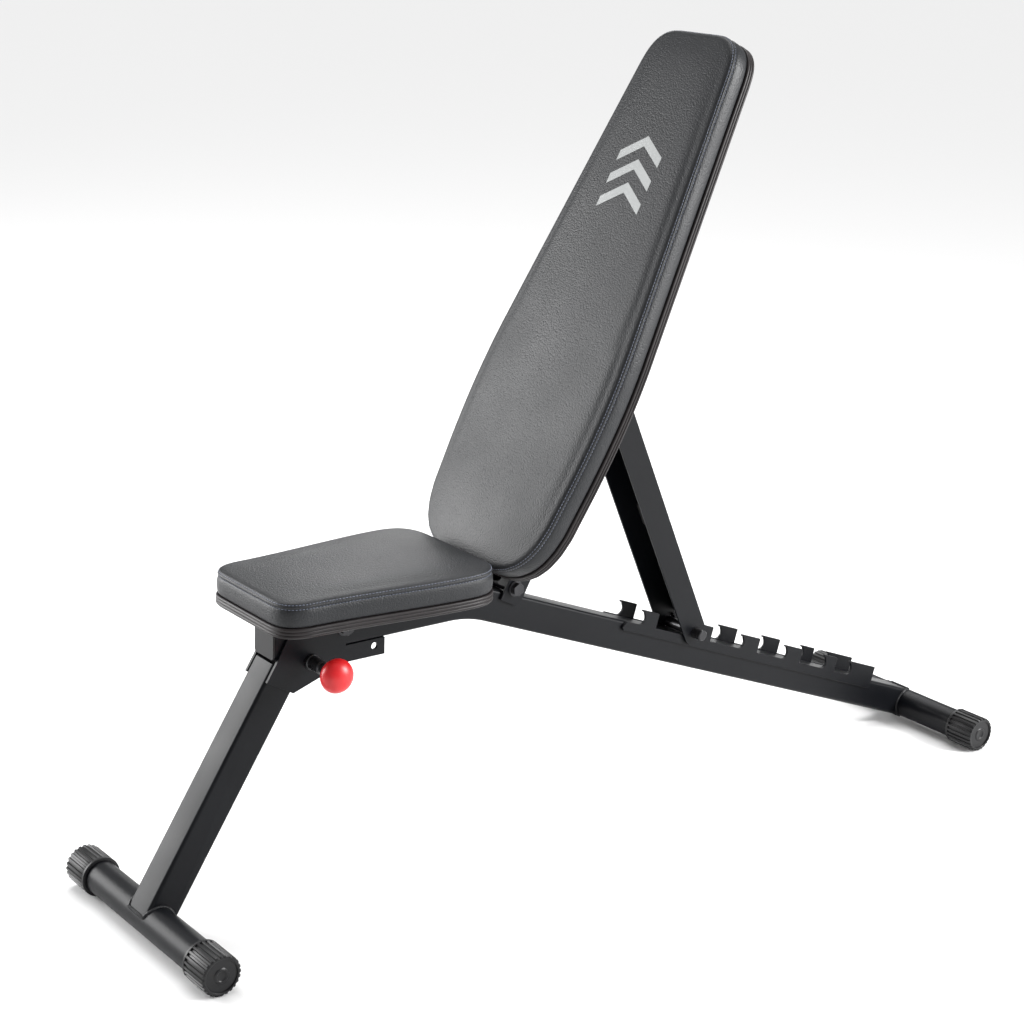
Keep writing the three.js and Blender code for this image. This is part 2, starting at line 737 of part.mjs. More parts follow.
boltSet(backFrame, 'back_pivot', 0, 0, railOuter, blackBolt);
for (const [label, side] of sides) piece(backFrame, `back_rail_${label}`, railSide(side), powderCoat);
const barLevels = [railFront + gap, padBase + 0.5 - gap];
crossbar(backFrame, 'back_bar_lower', lowerBarX, lowerBarHalf, ...barLevels, 'back_screw_lower');
crossbar(backFrame, 'back_bar_upper', upperBarX, upperBarHalf, ...barLevels, 'back_screw_upper');
pad(backFrame, 'back', backHalf(), padBase);

piece(strutFrame, 'strut_channel', strutChannel(), powderCoat);
const footPin = crossPin();
footPin.translate(strutLength, 0, 0);
piece(strutFrame, 'strut_cross_pin', footPin, zinc);
const bumperTop = strutHalfDepth - railWall - gap;
piece(strutFrame, 'strut_bumper', block(bumperStart, bumperStart + bumperLength, -bumperHalf, bumperHalf,
  bumperTop - bumperDepth, bumperTop), blackRubber);
boltSet(strutFrame, 'strut_pivot', 0, 0, strutOuter, blackBolt);

export default bench;
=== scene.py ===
import json
import math

import bmesh
import bpy
import numpy as np
from mathutils import Matrix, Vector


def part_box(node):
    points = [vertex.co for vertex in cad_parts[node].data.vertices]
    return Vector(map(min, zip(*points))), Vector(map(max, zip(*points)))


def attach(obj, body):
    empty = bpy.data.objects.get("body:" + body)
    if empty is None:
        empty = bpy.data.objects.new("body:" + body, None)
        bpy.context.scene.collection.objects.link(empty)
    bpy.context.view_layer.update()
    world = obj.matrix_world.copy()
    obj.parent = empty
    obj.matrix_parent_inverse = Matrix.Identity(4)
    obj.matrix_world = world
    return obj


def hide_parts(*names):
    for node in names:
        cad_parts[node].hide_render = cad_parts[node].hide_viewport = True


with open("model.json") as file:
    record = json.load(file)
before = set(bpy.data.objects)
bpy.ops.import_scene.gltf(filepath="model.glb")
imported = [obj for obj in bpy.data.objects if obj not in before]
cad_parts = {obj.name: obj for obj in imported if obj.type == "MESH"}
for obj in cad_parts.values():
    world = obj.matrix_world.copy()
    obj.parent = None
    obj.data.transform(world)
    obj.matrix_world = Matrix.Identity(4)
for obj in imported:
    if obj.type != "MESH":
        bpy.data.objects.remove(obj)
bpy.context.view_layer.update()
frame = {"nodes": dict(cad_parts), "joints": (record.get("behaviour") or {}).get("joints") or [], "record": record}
print("frame loaded:", len(frame["nodes"]), "nodes")

mm = 0.001
nodes = frame["nodes"]
joints = {joint["name"]: joint for joint in frame["joints"]}
bodyOf = {name: body for body, names in frame["record"]["behaviour"]["bodies"].items() for name in names}
slotOf = {part["node"]: part["material_slot"] for part in frame["record"]["subparts"]}
acrossBench = np.array([0.0, 1.0, 0.0])


# camera, lights and floor
cameraSettings = {"place": (-1.8141, -2.1450, 1.3006), "yaw": 38.143, "pitch": 16.899, "roll": 2.224,
                  "lens": 74.37}


def makeCamera(s):
    yaw, pitch, roll = (math.radians(s[k]) for k in ("yaw", "pitch", "roll"))
    ahead = np.array([math.sin(yaw) * math.cos(pitch), math.cos(yaw) * math.cos(pitch), -math.sin(pitch)])
    level = np.array([math.cos(yaw), -math.sin(yaw), 0.0])
    upright = np.cross(level, ahead)
    right = level * math.cos(roll) + upright * math.sin(roll)
    top = upright * math.cos(roll) - level * math.sin(roll)
    camera = bpy.data.objects.new("camera", bpy.data.cameras.new("camera"))
    turn = np.eye(4)
    turn[:3, 0], turn[:3, 1], turn[:3, 2], turn[:3, 3] = right, top, -ahead, s["place"]
    camera.matrix_world = Matrix(turn.tolist())
    camera.data.lens = s["lens"]
    camera.data.clip_end = 200
    bpy.context.scene.collection.objects.link(camera)
    bpy.context.scene.camera = camera


lightSettings = {
    "front": {"place": (-2.55, 3.1, 1.5), "aim": (-0.2, 0.0, 0.5), "size": (2.2, 2.5), "power": 215},
    "right": {"place": (2.25, -2.45, 1.8), "aim": (0.3, 0.0, 1.0), "size": (0.6, 1.6), "power": 210},
    "back": {"place": (2.3, 2.9, 1.9), "aim": (-0.3, 0.0, 0.4), "size": (2.0, 1.1), "power": 32},
}
overheadSettings = {"place": (0.5, 0.9, 3.0), "spread": 50.0, "strength": 2.5}


def makeLights(settings):
    for name, s in settings.items():
        light = bpy.data.lights.new(name, "AREA")
        light.shape = "RECTANGLE"
        light.size, light.size_y = s["size"]
        light.energy = s["power"]
        lamp = bpy.data.objects.new(name, light)
        lamp.visible_camera = False
        back = np.array(s["place"]) - np.array(s["aim"])
        lamp.matrix_world = Matrix.Translation(s["place"]) @ Matrix(frameOf(back)).to_4x4()
        bpy.context.scene.collection.objects.link(lamp)


def makeOverhead(s):
    # A broad light from above that does not weaken with distance, so that the floor is evenly pale.
    light = bpy.data.lights.new("overhead", "SUN")
    light.angle = math.radians(s["spread"])
    light.energy = s["strength"]
    lamp = bpy.data.objects.new("overhead", light)
    lamp.matrix_world = Matrix(frameOf(s["place"])).to_4x4()
    bpy.context.scene.collection.objects.link(lamp)


def frameOf(back):
    # A turned frame whose third axis runs along back, with its second as upright as it can be.
    z = np.array(back, float) / np.linalg.norm(back)
    x = np.cross([0.0, 0.0, 1.0], z)
    x = np.array([1.0, 0.0, 0.0]) if np.linalg.norm(x) < 1e-6 else x / np.linalg.norm(x)
    return np.array([x, np.cross(z, x), z]).T.tolist()


# node groups: each puts out masks and heights only
def newGroup(name, inputs, outputs):
    group = bpy.data.node_groups.new(name, "ShaderNodeTree")
    for title, value in inputs.items():
        kind = "NodeSocketVector" if title == "Vector" else "NodeSocketFloat"
        socket = group.interface.new_socket(name=title, in_out="INPUT", socket_type=kind)
        if kind == "NodeSocketFloat":
            socket.default_value = value
    for title in outputs:
        group.interface.new_socket(name=title, in_out="OUTPUT", socket_type="NodeSocketFloat")
    return group, group.nodes.new("NodeGroupInput"), group.nodes.new("NodeGroupOutput")


def addNode(tree, kind, values=None, **settings):
    node = tree.nodes.new(kind)
    for key, value in settings.items():
        setattr(node, key, value)
    for key, value in (values or {}).items():
        node.inputs[key].default_value = value
    return node


def addMath(tree, operation, first, second):
    node = tree.nodes.new("ShaderNodeMath")
    node.operation = operation
    for slot, value in ((0, first), (1, second)):
        if isinstance(value, (int, float)):
            node.inputs[slot].default_value = value
        else:
            tree.links.new(value, node.inputs[slot])
    return node.outputs[0]


def patchGroup():
    # Broad soft clouds, from 0 to 1.
    group, given, out = newGroup("softPatches", {"Vector": None, "Scale": 4.0, "Contrast": 1.0}, ["Mask"])
    noise = addNode(group, "ShaderNodeTexNoise", {"Detail": 3.0, "Roughness": 0.5})
    group.links.new(given.outputs["Vector"], noise.inputs["Vector"])
    group.links.new(given.outputs["Scale"], noise.inputs["Scale"])
    centred = addMath(group, "SUBTRACT", noise.outputs["Fac"], 0.5)
    spread = addMath(group, "MULTIPLY", centred, given.outputs["Contrast"])
    lifted = addMath(group, "ADD", spread, 0.5)
    held = addNode(group, "ShaderNodeClamp")
    group.links.new(lifted, held.inputs["Value"])
    group.links.new(held.outputs[0], out.inputs["Mask"])
    return group


def leatherGroup():
    # Pebbled grain: rounded cells with creases between them, roughened by a finer noise.
    group, given, out = newGroup("leatherGrain", {"Vector": None, "Scale": 700.0}, ["Height", "Creases"])
    warp = addNode(group, "ShaderNodeTexNoise", {"Scale": 180.0, "Detail": 2.0})
    mixed = addNode(group, "ShaderNodeMix", {0: 0.0016}, data_type="VECTOR")
    cells = addNode(group, "ShaderNodeTexVoronoi", {"Smoothness": 0.6}, feature="SMOOTH_F1")
    fine = addNode(group, "ShaderNodeTexNoise", {"Detail": 2.0})
    group.links.new(given.outputs["Vector"], warp.inputs["Vector"])
    group.links.new(given.outputs["Vector"], mixed.inputs[4])
    group.links.new(warp.outputs["Color"], mixed.inputs[5])
    group.links.new(mixed.outputs[1], cells.inputs["Vector"])
    group.links.new(given.outputs["Scale"], cells.inputs["Scale"])
    group.links.new(given.outputs["Vector"], fine.inputs["Vector"])
    group.links.new(addMath(group, "MULTIPLY", given.outputs["Scale"], 2.5), fine.inputs["Scale"])
    creases = addMath(group, "POWER", cells.outputs["Distance"], 2.0)
    height = addMath(group, "SUBTRACT", addMath(group, "MULTIPLY", fine.outputs["Fac"], 0.3), creases)
    group.links.new(height, out.inputs["Height"])
    group.links.new(creases, out.inputs["Creases"])
    return group


def speckleGroup():
    # Fine orange peel with a few raised specks, as baked powder has.
    group, given, out = newGroup("powderSpeckle", {"Vector": None, "Scale": 900.0}, ["Height", "Specks"])
    peel = addNode(group, "ShaderNodeTexNoise", {"Detail": 2.0, "Roughness": 0.6})
    specks = addNode(group, "ShaderNodeTexVoronoi")
    for node in (peel, specks):
        group.links.new(given.outputs["Vector"], node.inputs["Vector"])
    group.links.new(given.outputs["Scale"], peel.inputs["Scale"])
    group.links.new(addMath(group, "MULTIPLY", given.outputs["Scale"], 0.6), specks.inputs["Scale"])
    dots = addMath(group, "LESS_THAN", specks.outputs["Distance"], 0.22)
    height = addMath(group, "ADD", peel.outputs["Fac"], addMath(group, "MULTIPLY", dots, 0.5))
    group.links.new(height, out.inputs["Height"])
    group.links.new(dots, out.inputs["Specks"])
    return group


def brushedGroup():
    # Fine streaks round the bench's cross axis, as turning leaves them.
    group, given, out = newGroup("turnedStreaks", {"Vector": None, "Scale": 1.0}, ["Height"])
    stretch = addNode(group, "ShaderNodeMapping", {"Scale": (60.0, 2500.0, 60.0)})
    noise = addNode(group, "ShaderNodeTexNoise", {"Detail": 2.0})
    group.links.new(given.outputs["Vector"], stretch.inputs["Vector"])
    group.links.new(stretch.outputs[0], noise.inputs["Vector"])
    group.links.new(given.outputs["Scale"], noise.inputs["Scale"])
    group.links.new(noise.outputs["Fac"], out.inputs["Height"])
    return group


def plyGroup():
    # Long grain across the board with darker pores.
    group, given, out = newGroup("boardGrain", {"Vector": None, "Scale": 1.0}, ["Height", "Mask"])
    stretch = addNode(group, "ShaderNodeMapping", {"Scale": (14.0, 180.0, 180.0)})
    noise = addNode(group, "ShaderNodeTexNoise", {"Detail": 5.0, "Roughness": 0.65})
    group.links.new(given.outputs["Vector"], stretch.inputs["Vector"])
    group.links.new(stretch.outputs[0], noise.inputs["Vector"])
    group.links.new(given.outputs["Scale"], noise.inputs["Scale"])
    group.links.new(noise.outputs["Fac"], out.inputs["Height"])
    group.links.new(noise.outputs["Fac"], out.inputs["Mask"])
    return group


groups = {"patches": patchGroup(), "leather": leatherGroup(), "speckle": speckleGroup(),
          "brushed": brushedGroup(), "ply": plyGroup()}

finishes = {
    "powder_coat": {"colours": ((0.0025, 0.0028, 0.004), (0.0045, 0.005, 0.0065)), "rough": (0.34, 0.44),
                    "grain": "speckle", "grainScale": 900.0, "bump": 0.00006, "patches": 9.0, "shine": 0.16},
    "black_rubber": {"colours": ((0.005, 0.005, 0.0055), (0.010, 0.010, 0.011)), "rough": (0.34, 0.46),
                     "grain": "speckle", "grainScale": 500.0, "bump": 0.00003, "patches": 30.0, "shine": 0.3},
    "vinyl": {"colours": ((0.011, 0.012, 0.014), (0.018, 0.019, 0.021)), "rough": (0.38, 0.50),
              "grain": "leather", "grainScale": 480.0, "bump": 0.00035, "patches": 6.0, "shine": 0.3},
    "edging": {"colours": ((0.010, 0.008, 0.0085), (0.018, 0.0145, 0.015)), "rough": (0.38, 0.50),
               "grain": "speckle", "grainScale": 700.0, "bump": 0.00003, "patches": 12.0, "shine": 0.3},
    "plywood": {"colours": ((0.07, 0.045, 0.028), (0.17, 0.115, 0.07)), "rough": (0.6, 0.8),
                "grain": "ply", "grainScale": 1.0, "bump": 0.0002, "patches": 5.0},
    "zinc": {"colours": ((0.50, 0.51, 0.53), (0.62, 0.63, 0.64)), "rough": (0.18, 0.32), "metal": 1.0,
             "grain": "brushed", "grainScale": 1.0, "bump": 0.00003, "patches": 40.0},
    "black_steel": {"colours": ((0.020, 0.020, 0.022), (0.040, 0.040, 0.043)), "rough": (0.24, 0.38),
                    "metal": 0.6, "grain": "brushed", "grainScale": 0.6, "bump": 0.00003, "patches": 40.0},
    "red_plastic": {"colours": ((0.52, 0.006, 0.010), (0.60, 0.010, 0.013)), "rough": (0.34, 0.42),
                    "grain": "speckle", "grainScale": 260.0, "bump": 0.00001, "patches": 30.0},
    "thread": {"colours": ((0.09, 0.105, 0.155), (0.19, 0.21, 0.27)), "rough": (0.55, 0.75),
               "grain": "speckle", "grainScale": 2500.0, "bump": 0.0001, "patches": 60.0},
    "silverPrint": {"colours": ((0.27, 0.28, 0.28), (0.33, 0.34, 0.34)), "rough": (0.45, 0.55), "metal": 0.0,
                    "grain": "leather", "grainScale": 620.0, "bump": 0.00006, "patches": 20.0},
    "weldBead": {"colours": ((0.006, 0.0065, 0.008), (0.012, 0.0125, 0.014)), "rough": (0.3, 0.45),
                 "grain": "speckle", "grainScale": 600.0, "bump": 0.0001, "patches": 60.0, "shine": 0.3},
}


def makeMaterial(name, s):
    material = bpy.data.materials.new(name)
    material.use_nodes = True
    tree = material.node_tree
    shader = tree.nodes["Principled BSDF"]
    place = addNode(tree, "ShaderNodeTexCoord").outputs["Object"]
    patches = addNode(tree, "ShaderNodeGroup", node_tree=groups["patches"])
    patches.inputs["Scale"].default_value = s["patches"]
    patches.inputs["Contrast"].default_value = 2.2
    grain = addNode(tree, "ShaderNodeGroup", node_tree=groups[s["grain"]])
    grain.inputs["Scale"].default_value = s["grainScale"]
    for node in (patches, grain):
        tree.links.new(place, node.inputs["Vector"])
    mask = grain.outputs["Mask"] if s["grain"] == "ply" else patches.outputs["Mask"]
    colour = addNode(tree, "ShaderNodeMix", data_type="RGBA")
    colour.inputs[6].default_value = (*s["colours"][0], 1.0)
    colour.inputs[7].default_value = (*s["colours"][1], 1.0)
    tree.links.new(mask, colour.inputs[0])
    tree.links.new(colour.outputs[2], shader.inputs["Base Color"])
    rough = addNode(tree, "ShaderNodeMapRange", {"To Min": s["rough"][0], "To Max": s["rough"][1]})
    tree.links.new(patches.outputs["Mask"], rough.inputs["Value"])
    tree.links.new(rough.outputs[0], shader.inputs["Roughness"])
    bump = addNode(tree, "ShaderNodeBump", {"Distance": s["bump"], "Strength": 1.0})
    tree.links.new(grain.outputs["Height"], bump.inputs["Height"])
    tree.links.new(bump.outputs[0], shader.inputs["Normal"])
    shader.inputs["Metallic"].default_value = s.get("metal", 0.0)
    shader.inputs["Specular IOR Level"].default_value = s.get("shine", 0.5)
    return material


materials = {name: makeMaterial(name, s) for name, s in finishes.items()}
print("materials made:", len(materials))


# meshes
def finishPiece(piece, finish, body, replaced=()):
    piece.data.materials.clear()
    piece.data.materials.append(materials[finish])
    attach(piece, body)
    if replaced:
        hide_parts(*replaced)
    return piece


def meshFrom(name, points, faces, sharpAngle=35):
    # Merges doubled points, so that seams and poles close, and turns the faces outwards.
    mesh = bpy.data.meshes.new(name)
    mesh.from_pydata(np.asarray(points).reshape(-1, 3).tolist(), [], faces)
    work = bmesh.new()
    work.from_mesh(mesh)
    bmesh.ops.remove_doubles(work, verts=work.verts, dist=2e-6)
    bmesh.ops.dissolve_degenerate(work, edges=work.edges, dist=1e-7)
    bmesh.ops.recalc_face_normals(work, faces=work.faces)
    work.to_mesh(mesh)
    work.free()
    mesh.polygons.foreach_set("use_smooth", np.ones(len(mesh.polygons), bool))
    mesh.set_sharp_from_angle(angle=math.radians(sharpAngle))
    piece = bpy.data.objects.new(name, mesh)
    bpy.context.scene.collection.objects.link(piece)
    return piece


def gridFaces(rows, columns, wrapRows=False, wrapColumns=True, start=0):
    r = np.arange(rows if wrapRows else rows - 1)
    c = np.arange(columns if wrapColumns else columns - 1)
    r, c = (a.ravel() for a in np.meshgrid(r, c, indexing="ij"))
    nextRow, nextColumn = (r + 1) % rows, (c + 1) % columns
    quads = np.stack([r * columns + c, r * columns + nextColumn,
                      nextRow * columns + nextColumn, nextRow * columns + c], 1) + start
    return quads.tolist()


def latheAcross(name, centre, profile, segments=96, ripple=None):
    # Rows of (radius, place along the cross axis) swept round it. A ripple changes the radius by row and angle.
    radius, along = np.array(profile, float).T * mm
    turn = np.linspace(0, 2 * math.pi, segments, endpoint=False)
    r = np.repeat(radius[:, None], segments, 1)
    if ripple is not None:
        r = r - ripple(len(radius), turn)
    points = np.stack([centre[0] + r * np.cos(turn), np.repeat(along[:, None], segments, 1),
                       centre[2] + r * np.sin(turn)], 2)
    return meshFrom(name, points, gridFaces(len(radius), segments))


def refined(node, bevel, sharpAngle=35):
    # A merged copy of a frame piece with its flats joined, smooth where it is round and eased along its edges.
    mesh = nodes[node].data.copy()
    work = bmesh.new()
    work.from_mesh(mesh)
    bmesh.ops.remove_doubles(work, verts=work.verts, dist=2e-6)
    bmesh.ops.dissolve_limit(work, angle_limit=math.radians(0.2), verts=work.verts, edges=work.edges)
    work.to_mesh(mesh)
    work.free()
    mesh.polygons.foreach_set("use_smooth", np.ones(len(mesh.polygons), bool))
    mesh.set_sharp_from_angle(angle=math.radians(sharpAngle))
    piece = bpy.data.objects.new(node + "_finished", mesh)
    bpy.context.scene.collection.objects.link(piece)
    if bevel:
        edge = piece.modifiers.new("easedEdges", "BEVEL")
        edge.width = bevel * mm
        edge.segments = 2
        edge.limit_method = "ANGLE"
        edge.angle_limit = math.radians(sharpAngle)
        edge.harden_normals = True
    return finishPiece(piece, ownFinish.get(node, slotOf[node]), bodyOf[node], (node,))


ownFinish = {"strut_cross_pin": "black_steel"}

# how far each kind of frame piece's edges are eased, in millimetres
edgeEase = {
    "main_beam": 0.0, "leg_tube": 0.0, "fold_bracket": 0.7, "ladder_plate_left": 0.8, "ladder_plate_right": 0.8,
    "leg_plate_left": 0.8, "leg_plate_right": 0.8, "back_rail_left": 0.7, "back_rail_right": 0.7,
    "strut_channel": 0.8, "seat_bar_front": 0.7, "seat_bar_rear": 0.7, "back_bar_lower": 0.7,
    "back_bar_upper": 0.7, "beam_end_plug": 0.6, "strut_bumper": 2.5, "hinge_sleeve": 0.4, "pin_housing": 0.3,
    "front_foot_tube": 0.0, "rear_foot_tube": 0.0, "lock_pin": 0.2, "strut_cross_pin": 0.3,
    "seat_board": 0.5, "back_board": 0.5, "pin_spring": 0.0,
}
hardware = [name for name in nodes if name.endswith(("_bolt", "_nut")) or "_washer_" in name or "_screw_" in name]
for name in hardware:
    edgeEase[name] = 0.4
for name, ease in edgeEase.items():
    refined(name, ease)
print("frame pieces eased:", len(edgeEase))


# pads: a closed outline in each pad's own plane, and profiles carried round it
def padPlane(prefix, origin, along):
    along = np.array(along, float) / np.linalg.norm(along)
    normal = np.array([-along[2], 0.0, along[0]])
    return {"prefix": prefix, "origin": np.array(origin, float), "along": along, "normal": normal}


def inPlane(plane, points):
    away = points - plane["origin"]
    return np.stack([away @ plane["along"], away[:, 1], away @ plane["normal"]], 1)


def fromPlane(plane, a, y, n):
    # Millimetres along the pad, across it and off it, as points in the frame.
    a, y, n = np.broadcast_arrays(a, y, n)
    return (plane["origin"] + mm * (a[..., None] * plane["along"] + y[..., None] * acrossBench
                                    + n[..., None] * plane["normal"]))


def nodePoints(node):
    mesh = nodes[node].data
    flat = np.zeros(len(mesh.vertices) * 3)
    mesh.vertices.foreach_get("co", flat)
    return flat.reshape(-1, 3)


def padOutline(plane, count, softness=3.0):
    # The cushion's corners in order round its middle, spread evenly along the edge and rounded by a Gaussian.
    local = inPlane(plane, nodePoints(plane["prefix"] + "_cushion")) / mm
    plane["base"] = local[:, 2].min()
    corners = np.unique(np.round(local[:, :2], 2), axis=0)
    middle = corners.mean(0)
    order = np.argsort(np.arctan2(corners[:, 1] - middle[1], corners[:, 0] - middle[0]))
    ring = corners[order]
    ring = np.vstack([ring, ring[:1]])
    travel = np.concatenate([[0], np.cumsum(np.linalg.norm(np.diff(ring, axis=0), axis=1))])
    even = np.linspace(0, travel[-1], count, endpoint=False)
    curve = np.interp(even, travel, ring[:, 0]) + 1j * np.interp(even, travel, ring[:, 1])
    waves = np.fft.fftfreq(count, travel[-1] / count) * 2 * math.pi
    curve = np.fft.ifft(np.fft.fft(curve) * np.exp(-0.5 * (waves * softness) ** 2))
    slope = (np.roll(curve, -1) - np.roll(curve, 1))
    outward = -1j * slope / np.abs(slope)
    return {"curve": curve, "outward": outward, "length": travel[-1]}


def spineOf(outline, margin):
    # Each edge point's partner on the pad's middle line.
    a = outline["curve"].real
    low, high = a.min() + margin, a.max() - margin
    share = (a - a.min()) / (a.max() - a.min())
    return low + (high - low) * (share * share * (3 - 2 * share)) + 0j


def carried(plane, outline, profile):
    # A profile of (inset, height above the cushion's base) carried round the outline.
    inset, height = np.array(profile, float).T
    edge = outline["curve"][None, :] - outline["outward"][None, :] * inset[:, None]
    return fromPlane(plane, edge.real, edge.imag, plane["base"] + height[:, None])


cushionSettings = {
    "rim": [(9.0, 0.0), (2.4, 0.0), (1.1, 0.4), (0.3, 1.4), (-0.3, 3.6), (-0.9, 8.0), (-1.0, 13.0), (-0.6, 18.0),
            (0.2, 21.4), (1.0, 22.8), (1.5, 23.5), (1.3, 24.1), (0.5, 24.7), (0.1, 25.8), (0.1, 27.0), (0.6, 28.0),
            (1.4, 28.6), (1.7, 29.1), (1.7, 29.7), (2.3, 30.6), (3.5, 31.5), (5.3, 32.2), (7.8, 32.7), (10.8, 33.0),
            (14.5, 33.3)],
    "topRows": 24, "bottomRows": 5, "crown": 1.2, "swell": 2.0, "pressure": 4.0, "frames": 20,
    "seat": {"count": 240, "margin": 95.0}, "back": {"count": 360, "margin": 105.0},
}


def cushionGrid(plane, outline, s, margin):
    # Rows from the middle line under the cushion, out to its rim, up the sides and back to the middle line on top.
    spine = spineOf(outline, margin)
    rim = np.array(s["rim"], float)
    inner = outline["curve"] - outline["outward"] * rim[0, 0]
    share = np.linspace(0, 1, s["bottomRows"], endpoint=False)[:, None]
    under = spine + (inner - spine) * share
    edge = outline["curve"][None, :] - outline["outward"][None, :] * rim[:, 0][:, None]
    share = np.linspace(1, 0, s["topRows"] + 1)[1:][:, None]
    over = spine + (edge[-1] - spine) * share
    flat = np.vstack([under, edge, over])
    height = np.concatenate([np.zeros(s["bottomRows"]), rim[:, 1],
                             rim[-1, 1] + s["crown"] * (1 - share[:, 0] ** 2.5)])
    points = fromPlane(plane, flat.real, flat.imag, plane["base"] + height[:, None])
    return points, s["bottomRows"] + len(rim)


def swellTop(piece, plane, s, held):
    # Blown up with its rim held, as a cloth, and the rise then kept under a soft cap.
    group = piece.vertex_groups.new(name="held")
    group.add(np.nonzero(held)[0].tolist(), 1.0, "REPLACE")
    cloth = piece.modifiers.new("swell", "CLOTH")
    cloth.settings.vertex_group_mass = "held"
    cloth.settings.use_pressure = True
    cloth.settings.uniform_pressure_force = s["pressure"]
    cloth.settings.effector_weights.gravity = 0
    cloth.settings.quality = 6
    cloth.settings.tension_stiffness = 25
    cloth.settings.compression_stiffness = 25
    cloth.settings.bending_stiffness = 2
    scene = bpy.context.scene
    cloth.point_cache.frame_start, cloth.point_cache.frame_end = 1, s["frames"]
    for number in range(1, s["frames"] + 1):
        scene.frame_set(number)
    grown = piece.evaluated_get(bpy.context.evaluated_depsgraph_get()).to_mesh()
    after = np.zeros(len(grown.vertices) * 3)
    grown.vertices.foreach_get("co", after)
    before = np.zeros(len(piece.data.vertices) * 3)
    piece.data.vertices.foreach_get("co", before)
    after, before = after.reshape(-1, 3), before.reshape(-1, 3)
    piece.evaluated_get(bpy.context.evaluated_depsgraph_get()).to_mesh_clear()
    piece.modifiers.clear()
    rise = (after - before) @ plane["normal"] / mm
    capped = s["swell"] * np.tanh(rise / s["swell"])
    print("  swell of", piece.name, "up to", round(float(rise.max()), 1), "mm, kept", round(float(capped.max()), 1))
    piece.data.vertices.foreach_set("co", (before + capped[:, None] * mm * plane["normal"]).ravel())
    piece.data.update()
    scene.frame_set(1)


def makeCushion(plane, outline, body):
    s = cushionSettings
    points, firstTop = cushionGrid(plane, outline, s, s[plane["prefix"]]["margin"])
    rows, columns = points.shape[:2]
    piece = meshFrom(plane["prefix"] + "_cushion_cover", points, gridFaces(rows, columns), 180)
    local = inPlane(plane, np.array([v.co for v in piece.data.vertices])) / mm
    held = local[:, 2] < plane["base"] + s["rim"][-1][1] + 0.02
    swellTop(piece, plane, s, held)
    smooth = piece.modifiers.new("smooth", "SUBSURF")
    smooth.levels = smooth.render_levels = 1
    finishPiece(piece, "vinyl", body, (plane["prefix"] + "_cushion",))
    return piece


edgingSettings = {"proud": 0.9, "ridges": 3, "ridge": 1.1, "backEdge": -0.2, "lip": 3.0}


def makeEdging(plane, outline, body):
    # Three half-round ridges, one above the other, on a flat band with a thin lip turned in over the board.
    s = edgingSettings
    level = inPlane(plane, nodePoints(plane["prefix"] + "_edge_trim"))[:, 2] / mm
    low, tall = level.min(), level.max() - level.min()
    steps = s["ridges"] * 8
    t = np.linspace(0, 1, steps + 1)
    bulge = s["ridge"] * np.abs(np.sin(math.pi * s["ridges"] * t)) ** 0.7
    profile = [(s["backEdge"], 0.2)] + [(-s["proud"] - b, 0.4 + (tall - 0.8) * k) for k, b in zip(t, bulge)]
    profile += [(s["backEdge"], tall - 0.15), (s["lip"], tall - 0.15),
                (s["lip"], tall - 0.6), (s["backEdge"], tall - 0.6)]
    raised = [(inset, low - plane["base"] + height) for inset, height in profile]
    points = carried(plane, outline, raised)
    rows, columns = points.shape[:2]
    name = plane["prefix"] + "_ridged_edging"
    piece = meshFrom(name, points, gridFaces(rows, columns, wrapRows=True), 50)
    return finishPiece(piece, "edging", body, (plane["prefix"] + "_edge_trim",))


stitchSettings = {"pitch": 4.6, "length": 3.5, "thread": 0.42, "rings": 5, "sides": 6,
                  "rows": [(1.35, 23.6, 1.0, 0.0), (1.6, 29.2, 0.8, 0.6)]}


def makeStitches(plane, outline, body):
    # Short arched threads set end to end along the outline, their ends sunk in the cover.
    s = stitchSettings
    count = len(outline["curve"])
    number = int(outline["length"] / s["pitch"])
    at = np.arange(number) / number * count
    places = np.arange(count + 1)
    ring = np.append(outline["curve"], outline["curve"][0])
    outward = np.append(outline["outward"], outline["outward"][0])
    along = np.linspace(-0.5, 0.5, s["rings"])
    turn = np.linspace(0, 2 * math.pi, s["sides"], endpoint=False)
    thick = s["thread"] * np.sqrt(np.clip(1 - (2 * along) ** 4, 0.05, 1))
    lift = 0.55 * (1 - (2 * along) ** 2) - 0.25
    allPoints, allFaces = [], []
    for inset, height, sideways, upwards in s["rows"]:
        centre = np.interp(at, places, ring.real) + 1j * np.interp(at, places, ring.imag)
        out = np.interp(at, places, outward.real) + 1j * np.interp(at, places, outward.imag)
        out /= np.abs(out)
        centre = centre - out * inset
        tangent = 1j * out
        push = lift[None, :, None] + thick[None, :, None] * np.cos(turn)[None, None, :]
        swing = np.broadcast_to(thick[None, :, None] * np.sin(turn)[None, None, :], push.shape)
        flat = (centre[:, None, None] + tangent[:, None, None] * (s["length"] * along)[None, :, None]
                + out[:, None, None] * (push * sideways - swing * upwards))
        level = plane["base"] + height + push * upwards + swing * sideways
        level = np.broadcast_to(level, flat.shape)
        start = sum(len(p) for p in allPoints)
        allPoints.append(fromPlane(plane, flat.real, flat.imag, level).reshape(-1, 3))
        one = np.array(gridFaces(s["rings"], s["sides"]))
        offsets = start + np.arange(number)[:, None, None] * (s["rings"] * s["sides"])
        allFaces += (one[None] + offsets).reshape(-1, 4).tolist()
        ends = np.array([np.arange(s["sides"])[::-1], np.arange(s["sides"]) + (s["rings"] - 1) * s["sides"]])
        allFaces += (ends[None] + offsets).reshape(-1, s["sides"]).tolist()
    piece = meshFrom(plane["prefix"] + "_stitching", np.vstack(allPoints), allFaces, 180)
    return finishPiece(piece, "thread", body)


